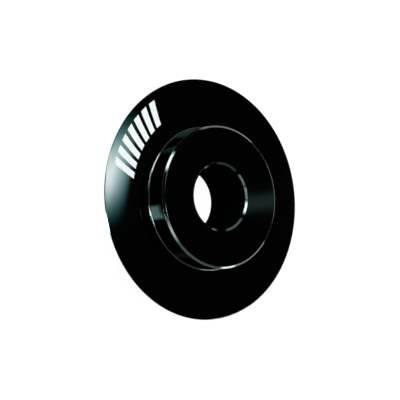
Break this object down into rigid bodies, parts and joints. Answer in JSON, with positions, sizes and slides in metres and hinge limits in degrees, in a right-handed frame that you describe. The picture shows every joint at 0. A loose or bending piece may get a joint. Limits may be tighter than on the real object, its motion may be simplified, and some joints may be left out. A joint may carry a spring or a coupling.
{
  "type": "pipe cutter wheel",
  "caption": "One-piece turned cutter wheel: a round hub with a plain through bore and a thin disc that tapers on both faces to a sharp cutting edge.",
  "frame": {"origin": "centre of the hub's lower end face, which the wheel rests on", "axes": "+Z along the bore's axis, up from the face that it rests on; the wheel is round, so X and Y may point anywhere across it"},
  "size_m": [0.019, 0.019, 0.0046],
  "materials": {
    "blackened_steel": "polished and blackened"
  },
  "bodies": {
    "root": {"cutter_wheel": "blackened_steel"}
  },
  "joints": []
}
